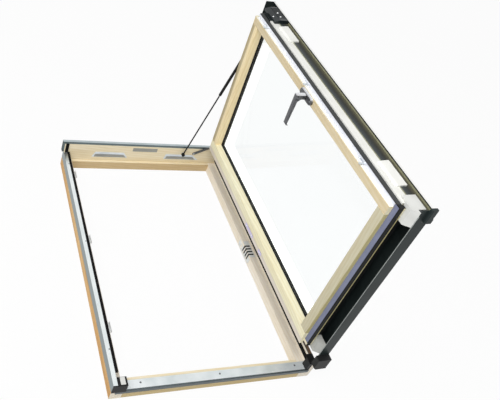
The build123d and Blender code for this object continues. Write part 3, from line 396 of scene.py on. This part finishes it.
wearers = {
    "pineStile": ["frame_lock_stile", "frame_hinge_stile"],
    "pineRail": ["frame_head", "frame_sill"],
    "pineSashStile": ["sash_lock_stile", "sash_hinge_stile"],
    "pineSashRail": ["sash_foot_rail", "sash_head_rail"],
    "coatedAluminium": ["frame_lock_cap"],
    "shadeBrownAluminium": ["frame_hinge_cap"],
    "hoodAluminium": ["frame_hood"],
    "treadAluminium": ["sill_cap"],
    "powderCoat": ["cover_hinge", "cover_foot", "cover_head", "corner_cap_lock"],
    "paintedReflectionCoat": ["cover_lock"],
    "blackNylon": [
        "corner_block_lock", "corner_block_hinge", "corner_cap_hinge", "edge_profile_foot", "edge_profile_head",
        "glass_spacer",
    ],
    "greyNylon": ["end_cap_lock", "end_cap_hinge"],
    "whiteVinyl": ["edge_profile_lock", "edge_profile_hinge", "cover_clip_lower", "cover_clip_upper"],
    "greyVinyl": ["end_block_lock", "keep_plate"],
    "shadedVinyl": ["end_block_hinge"],
    "sealRubber": ["frame_seal", "glazing_seal"],
    "darkGreyRubber": ["sash_seal"],
    "blueZinc": ["lock_faceplate"],
    "lilacZinc": ["catch_plate_long", "catch_plate_short"],
    "zincSteel": ["tray_small", "tray_large", "strut_stud", "catch_pin", "lock_bar", "strut_pivot"],
    "paleZinc": ["strike_lower", "strike_middle", "strike_upper"],
    "hingeSteel": [
        "frame_leaf_lower", "frame_leaf_upper", "hinge_pin_lower", "hinge_pin_upper", "sash_leaf_lower",
        "sash_leaf_upper", "catch_arm",
    ],
    "silverLacquer": ["handle_plate", "handle_lever"],
    "floatGlass": ["inner_pane", "outer_pane"],
    "strutEnamel": ["strut_cylinder", "strut_rod"],
}
for finish, names in wearers.items():
    for name in names:
        piece = nodes[name]
        piece.data.materials.clear()
        piece.data.materials.append(materials[finish])
print("finishes on", sum(len(names) for names in wearers.values()), "nodes")


def placePiece(name, mesh, body, finish):
    piece = bpy.data.objects.new(name, mesh)
    bpy.context.scene.collection.objects.link(piece)
    if not mesh.materials:
        mesh.materials.append(materials[finish])
    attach(piece, body)


def stripMesh(name, blocks, softMm, turn=None):
    # thin trim: eight-cornered blocks in mm with softened edges; a block is two corners or two outlines
    made = bmesh.new()
    for low, high in blocks:
        if len(low) == 3:
            (x0, y0, z0), (x1, y1, z1) = low, high
            low = [(x0, y0, z0), (x1, y0, z0), (x1, y1, z0), (x0, y1, z0)]
            high = [(x0, y0, z1), (x1, y0, z1), (x1, y1, z1), (x0, y1, z1)]
        corners = [made.verts.new([c * mm for c in point]) for point in list(low) + list(high)]
        a, b, c, d, e, f, g, h = corners
        for face in ((d, c, b, a), (e, f, g, h), (a, b, f, e), (b, c, g, f), (c, d, h, g), (d, a, e, h)):
            made.faces.new(face)
    bmesh.ops.recalc_face_normals(made, faces=made.faces)
    bmesh.ops.bevel(
        made, geom=list(made.edges), offset=softMm * mm, segments=2, profile=0.5, affect="EDGES",
        clamp_overlap=True)
    if turn:
        made.transform(turn)
    mesh = bpy.data.meshes.new(name)
    made.to_mesh(mesh)
    made.free()
    return mesh


def placeTrim(name, trim):
    # a trim on the sash is laid out with the sash closed
    turn = sashTurn if trim["body"] == "sash" else None
    mesh = stripMesh(name, trim["blocks"], trim["softMm"], turn)
    placePiece(name, mesh, trim["body"], trim["finish"])


def box(x, y, z):
    # two opposite corners from where a block begins and ends along each axis
    return list(zip(x, y, z))


# white liners on the covers' inner edges round the glass
liner = {"half": 268, "foot": 50, "head": 901, "z": (89.9, 129.6), "thick": 0.8}
half, foot, head, thick = liner["half"], liner["foot"], liner["head"], liner["thick"]
inner = half - thick
linerBlocks = [
    box((-half, -inner), (foot, head), liner["z"]),
    box((inner, half), (foot, head), liner["z"]),
    box((-inner, inner), (foot, foot + thick), liner["z"]),
    box((-inner, inner), (head - thick, head), liner["z"]),
]

# lips that close the wood edge beside the sash seal: a lower and an upper one up the lock side, a taller one at
# their foot corner, and one along the foot
lips = {
    "lock": -300, "hinge": 289, "foot": 8, "head": 926, "out": 0.45, "lockLap": 0.3, "footLap": 0.1,
    "lowerZ": (54.7, 56.2), "upperZ": (67.8, 68.25), "cornerZ": (67.8, 74.1), "upperY": (20, 870),
}
lipX, lipY, lapX = lips["lock"] - lips["out"], lips["foot"] - lips["out"], lips["lock"] + lips["lockLap"]
lipBlocks = [
    box((lipX, lapX), (lipY, lips["head"]), lips["lowerZ"]),
    box((lipX, lips["lock"]), lips["upperY"], lips["upperZ"]),
    box((lipX, lips["lock"]), (lipY, lips["upperY"][0]), lips["cornerZ"]),
    box((lapX, lips["hinge"]), (lipY, lips["foot"] + lips["footLap"]), lips["lowerZ"]),
]

# grey plates over the lower half of the two vent trays, as painted shade inside them: (left, right, height) of their
# tops and bottoms
vent = {
    "y": (946.9, 947.3),
    "small": ((-206, -91, 66.4), (-209, -78, 54)), "large": ((94, 207, 67.2), (87, 223, 54)),
}
ventShadeBlocks = []
for tray in ("small", "large"):
    (topLeft, topRight, topZ), (lowLeft, lowRight, lowZ) = vent[tray]
    ventShadeBlocks.append([
        [(lowLeft, y, lowZ), (lowRight, y, lowZ), (topRight, y, topZ), (topLeft, y, topZ)]
        for y in vent["y"]
    ])

trims = {
    "glazing_liner": {
        "body": "sash", "slot": "white_plastic", "finish": "glowingLinerVinyl", "softMm": 0.2, "blocks": linerBlocks},
    # lilac brush strip on the foot rim, between the wood step and the black seal
    "foot_brush": {
        "body": "sash", "slot": "seal_rubber", "finish": "lilacStrip", "softMm": 0.2,
        "blocks": [box(x=(-299.4, 289.4), y=(8.1, 24), z=(54.3, 55))]},
    "seal_lips": {
        "body": "sash", "slot": "seal_rubber", "finish": "darkGreyRubber", "softMm": 0.1, "blocks": lipBlocks},
    # rubber lip under the frame seal on the hinge side, partly painted shade that darkens the gap line beside the
    # sash
    "frame_seal_lip": {
        "body": "frame", "slot": "seal_rubber", "finish": "sealRubber", "softMm": 0.2,
        "blocks": [box(x=(315.7, 317), y=(12, 946), z=(45.5, 50.3))]},
    # white strip on the lock stile's step, a painted highlight where light falls on it from above
    "lock_step_highlight": {
        "body": "sash", "slot": "white_plastic", "finish": "whiteVinyl", "softMm": 0.15,
        "blocks": [box(x=(-288.5, -288), y=(26, 925), z=(44.2, 53.4))]},
    # painted shade in the lower half of the vent trays
    "vent_shade_plates": {
        "body": "frame", "slot": "zinc_steel", "finish": "greyLacquer", "softMm": 0.15, "blocks": ventShadeBlocks},
    # blank plate on the head wall
    "blank_plate": {
        "body": "frame", "slot": "zinc_steel", "finish": "greyLacquer", "softMm": 0.25,
        "blocks": [box(x=(-57, 45.5), y=(947.9, 948.5), z=(86.2, 103.4))]},
    # pale insert on top of the lock corner block
    "corner_insert": {
        "body": "frame", "slot": "white_plastic", "finish": "greyVinyl", "softMm": 0.25,
        "blocks": [box(x=(-308, -293.5), y=(-19, 4), z=(73, 73.6))]},
    # painted highlight: a thin light strip along the edge of the foot cover's flange
    "cover_edge_highlight": {
        "body": "sash", "slot": "grey_cover", "finish": "edgeHighlightAluminium", "softMm": 0.08,
        "blocks": [box(x=(-300, 330), y=(-22, -20), z=(93.7, 94))]},
}
for name, trim in trims.items():
    placeTrim(name, trim)
print("trim strips and plates placed")


def newTree(name, inputs):
    # an empty geometry tree with its named inputs; returns it with the inputs' sockets and the output node
    tree = bpy.data.node_groups.new(name, "GeometryNodeTree")
    tree.interface.new_socket(name="Geometry", in_out="INPUT", socket_type="NodeSocketGeometry")
    for label, kind in inputs.items():
        tree.interface.new_socket(name=label, in_out="INPUT", socket_type="NodeSocket" + kind)
    tree.interface.new_socket(name="Geometry", in_out="OUTPUT", socket_type="NodeSocketGeometry")
    return tree, addNode(tree, "NodeGroupInput").outputs, addNode(tree, "NodeGroupOutput")


def finishTree(tree, given, out, rotation, instance):
    placed = addNode(
        tree, "GeometryNodeInstanceOnPoints", Points=given["Geometry"], Instance=instance, Rotation=rotation)
    real = addNode(tree, "GeometryNodeRealizeInstances", Geometry=placed.outputs["Instances"])
    dressed = addNode(
        tree, "GeometryNodeSetMaterial", Geometry=real.outputs["Geometry"], Material=given["Metal"])
    tree.links.new(dressed.outputs["Geometry"], out.inputs["Geometry"])


def grow(name, tree, points, facings, sizes):
    # runs a tree on points and keeps what it makes as a plain mesh
    seedMesh = bpy.data.meshes.new(name)
    seedMesh.from_pydata([tuple(p) for p in points], [], [])
    facing = seedMesh.attributes.new("facing", "FLOAT_VECTOR", "POINT")
    facing.data.foreach_set("vector", [c for f in facings for c in f])
    holder = bpy.data.objects.new(name + "_seed", seedMesh)
    bpy.context.scene.collection.objects.link(holder)
    modifier = holder.modifiers.new(tree.name, "NODES")
    modifier.node_group = tree
    sockets = {item.name: item.identifier for item in tree.interface.items_tree if item.in_out == "INPUT"}
    for label, value in sizes.items():
        modifier[sockets[label]] = value
    grown = bpy.data.meshes.new_from_object(holder.evaluated_get(bpy.context.evaluated_depsgraph_get()))
    grown.name = name
    holder.modifiers.clear()
    bpy.data.objects.remove(holder)
    return grown


# cross-slot pan head screws: one head is made, cut and set on each point along its facing; the shares are of the
# head's radius
screw = {
    "riseMm": 1.1, "slotMm": 0.7, "slotDeepMm": 0.6, "crownShare": 0.72, "slotShare": 1.05, "sides": 24, "seed": 7,
}


def screwTree():
    tree, given, out = newTree(
        "panHeadScrews",
        {"Head Radius": "Float", "Head Rise": "Float", "Slot Width": "Float", "Slot Depth": "Float", "Seed": "Int",
         "Metal": "Material"})
    pan = addNode(
        tree, "GeometryNodeMeshCone", {"in_Vertices": screw["sides"]},
        Radius_Top=mathNode(tree, "MULTIPLY", given["Head Radius"], screw["crownShare"]),
        Radius_Bottom=given["Head Radius"], Depth=given["Head Rise"])
    slotLength = mathNode(tree, "MULTIPLY", given["Head Radius"], screw["slotShare"])
    # a blade is centred on the head's top, so only half of it cuts
    bladeDepth = mathNode(tree, "MULTIPLY", given["Slot Depth"], 2.0)
    cut = addNode(
        tree, "GeometryNodeMeshBoolean", {"operation": "DIFFERENCE", "solver": "EXACT"}, Mesh_1=pan.outputs["Mesh"])
    lifted = addNode(tree, "ShaderNodeCombineXYZ", Z=given["Head Rise"])
    for along, across in (("X", "Y"), ("Y", "X")):
        size = addNode(
            tree, "ShaderNodeCombineXYZ", Z=bladeDepth, **{along: slotLength, across: given["Slot Width"]})
        blade = addNode(tree, "GeometryNodeMeshCube", Size=size.outputs[0])
        raised = addNode(
            tree, "GeometryNodeTransform", Geometry=blade.outputs["Mesh"], Translation=lifted.outputs[0])
        tree.links.new(raised.outputs["Geometry"], cut.inputs["Mesh 2"])
    facing = addNode(tree, "GeometryNodeInputNamedAttribute", {"data_type": "FLOAT_VECTOR", "in_Name": "facing"})
    aimed = addNode(tree, "FunctionNodeAlignRotationToVector", {"axis": "Z"}, Vector=facing.outputs["Attribute"])
    # each head is turned by chance, up to a quarter; the fourth socket is the most and the second output a number
    spin = addNode(tree, "FunctionNodeRandomValue", {"data_type": "FLOAT"}, Seed=given["Seed"])
    spin.inputs[3].default_value = math.pi / 2
    spun = addNode(tree, "FunctionNodeAxisAngleToRotation", {"in_Axis": (0, 0, 1)}, Angle=spin.outputs[1])
    turned = addNode(
        tree, "FunctionNodeRotateRotation", {"rotation_space": "LOCAL"},
        Rotation=aimed.outputs[0], Rotate_By=spun.outputs[0])
    finishTree(tree, given, out, turned.outputs[0], cut.outputs["Mesh"])
    return tree


# where they sit, in mm: frame places as they stand, sash places with the sash closed
screwPlaces = {
    "frame_cap_screws": {"body": "frame", "facing": (0, 0, 1), "headMm": 2.2, "metal": "hingeSteel",
                         "at": [(-319.4, 93.7, 73), (-319.4, 499.6, 73), (-319.4, 880, 73)]},
    "sill_screws": {"body": "frame", "facing": (0, 0, 1), "headMm": 3.1, "metal": "hingeSteel",
                    "at": [(-238.5, 0, 38), (12.3, 0, 38), (273.9, 0, 38)]},
    "keep_screws": {"body": "frame", "facing": (-1, 0, 0), "headMm": 2.6, "metal": "zincSteel",
                    "at": [(286.5, 437, 18), (286.5, 523, 18)]},
    "handle_screws": {"body": "sash", "facing": (0, 0, -1), "headMm": 3.0, "metal": "hingeSteel",
                      "at": [(-274.5, 461, 35), (-274.5, 519, 35)]},
    "catch_screws": {"body": "sash", "facing": (0, 0, -1), "headMm": 2.4, "metal": "zincSteel",
                     "at": [(303, 452, 44.5), (303, 500, 44.5), (303, 374, 44.5)]},
    "faceplate_screws": {"body": "sash", "facing": (0, 0, -1), "headMm": 2.4, "metal": "zincSteel",
                         "at": [(-294, y, 53.5) for y in (45, 330, 640, 906)]},
    "end_cap_screws": {"body": "sash", "facing": (-1, 0, 0), "headMm": 3.2, "metal": "paleZinc",
                       "at": [(-319.5, 903, 105), (-319.5, 877, 104.5), (-315.2, 884, 82)]},
}
panHeads = screwTree()
for name, place in screwPlaces.items():
    points = [Vector(p) * mm for p in place["at"]]
    facings = [Vector(place["facing"])] * len(points)
    if place["body"] == "sash":
        points = [sashTurn @ p for p in points]
        facings = [sashTurn.to_3x3() @ f for f in facings]
    mesh = grow(name, panHeads, points, facings, {
        "Head Radius": place["headMm"] * mm, "Head Rise": screw["riseMm"] * mm, "Slot Width": screw["slotMm"] * mm,
        "Slot Depth": screw["slotDeepMm"] * mm, "Seed": screw["seed"], "Metal": materials[place["metal"]]})
    placePiece(name, mesh, place["body"], place["metal"])

# the keep's step plate, and black blocks on its wall and step sides as painted shade in its slots
keepStep = {
    "body": "frame", "slot": "white_plastic", "finish": "greyVinyl", "softMm": 0.25,
    "blocks": [box(x=(288.3, 311), y=(436, 512), z=(38, 38.8))],
}
placeTrim("keep_step", keepStep)
keepSlotShades = {
    "keep_wall_slot_shades": {"x": 287.1, "z": 26, "size": (1.8, 6, 24)},
    "keep_step_slot_shades": {"x": 296.6, "z": 38.55, "size": (20.8, 6, 1.1)},
}
keepSlotRows = (449, 462, 475, 488)


def slotTree():
    tree, given, out = newTree(
        "keepSlotShades", {"Size X": "Float", "Size Y": "Float", "Size Z": "Float", "Metal": "Material"})
    size = addNode(tree, "ShaderNodeCombineXYZ", X=given["Size X"], Y=given["Size Y"], Z=given["Size Z"])
    block = addNode(tree, "GeometryNodeMeshCube", Size=size.outputs[0])
    level = addNode(tree, "FunctionNodeEulerToRotation")
    finishTree(tree, given, out, level.outputs[0], block.outputs["Mesh"])
    return tree


slotBlocks = slotTree()
for name, place in keepSlotShades.items():
    points = [Vector((place["x"], y, place["z"])) * mm for y in keepSlotRows]
    sizes = {"Size " + axis: side * mm for axis, side in zip("XYZ", place["size"])}
    mesh = grow(name, slotBlocks, points, [(0, 0, 1)] * len(points), {**sizes, "Metal": materials["blackNylon"]})
    placePiece(name, mesh, "frame", "blackNylon")
print("screws and keep slots grown")

# studio: pale floor that reads white to the camera but keeps a soft shadow; light from above, front and left
studio = {"floorSize": 14.0, "floorDropMm": 0.2, "paper": "e6e6e6", "seenShare": 0.95, "skyStrength": 0.3}
lamps = {
    "keyLight": {"watts": 104, "size": 2.6, "place": (-1.6, -0.6, 3.2)},
    "fillLight": {"watts": 11, "size": 2.5, "place": (-0.6, -3.2, 1.2)},
    "sideLight": {"watts": 12, "size": 2.0, "place": (-3.2, 0.4, 0.7)},
}
lampsAim = Vector((0.0, 0.45, 0.2))
floorMesh = bpy.data.meshes.new("studioFloor")
edge = studio["floorSize"] / 2
floorMesh.from_pydata([(-edge, -edge, 0), (edge, -edge, 0), (edge, edge, 0), (-edge, edge, 0)], [], [(0, 1, 2, 3)])
floor = bpy.data.objects.new("studioFloor", floorMesh)
floor.location.z = -studio["floorDropMm"] * mm
bpy.context.scene.collection.objects.link(floor)


def seenRays(tree):
    # one where the camera, a mirror or glass looks straight at the background
    rays = addNode(tree, "ShaderNodeLightPath").outputs
    direct = mathNode(tree, "MAXIMUM", rays["Is Camera Ray"], rays["Is Glossy Ray"])
    return mathNode(tree, "MAXIMUM", direct, rays["Is Transmission Ray"])


floorMaterial, tree, out = newMaterial("studioPaper")
paper = addNode(tree, "ShaderNodeBsdfDiffuse", {"in_Color": hexColor(studio["paper"])})
glow = addNode(tree, "ShaderNodeEmission", {"in_Strength": 1.0})
seenShare = mathNode(tree, "MULTIPLY", seenRays(tree), studio["seenShare"])
tree.links.new(mixShader(tree, seenShare, paper, glow), out.inputs["Surface"])
floorMesh.materials.append(floorMaterial)

world = bpy.data.worlds.new("studioWorld")
bpy.context.scene.world = world
world.use_nodes = True
tree = world.node_tree
tree.nodes.clear()
out = addNode(tree, "ShaderNodeOutputWorld")
white = hexColor("ffffff")
ambient = addNode(tree, "ShaderNodeBackground", {"in_Color": white, "in_Strength": studio["skyStrength"]})
plain = addNode(tree, "ShaderNodeBackground", {"in_Color": white, "in_Strength": 1.0})
tree.links.new(mixShader(tree, seenRays(tree), ambient, plain), out.inputs["Surface"])

for name, settings in lamps.items():
    lamp = bpy.data.lights.new(name, "AREA")
    lamp.energy = settings["watts"]
    lamp.size = settings["size"]
    holder = bpy.data.objects.new(name, lamp)
    holder.location = settings["place"]
    holder.rotation_euler = (lampsAim - Vector(settings["place"])).to_track_quat("-Z", "Y").to_euler()
    bpy.context.scene.collection.objects.link(holder)

# camera solved from the straight edges of the photograph
view = {
    "place": (-0.81079, -0.7745, 1.56276), "turnDeg": (48.2693, -15.1897, -15.0357),
    "sensor": 36, "lens": 43.370, "shift": (0.17653, -0.03703),
}
cameraData = bpy.data.cameras.new("photoCamera")
cameraData.sensor_width = view["sensor"]
cameraData.sensor_fit = "HORIZONTAL"
cameraData.lens = view["lens"]
cameraData.shift_x, cameraData.shift_y = view["shift"]
camera = bpy.data.objects.new("photoCamera", cameraData)
camera.location = view["place"]
camera.rotation_euler = Euler([math.radians(a) for a in view["turnDeg"]], "XYZ")
bpy.context.scene.collection.objects.link(camera)
bpy.context.scene.camera = camera
bpy.context.scene.view_settings.view_transform = "Standard"
print("studio and camera set")
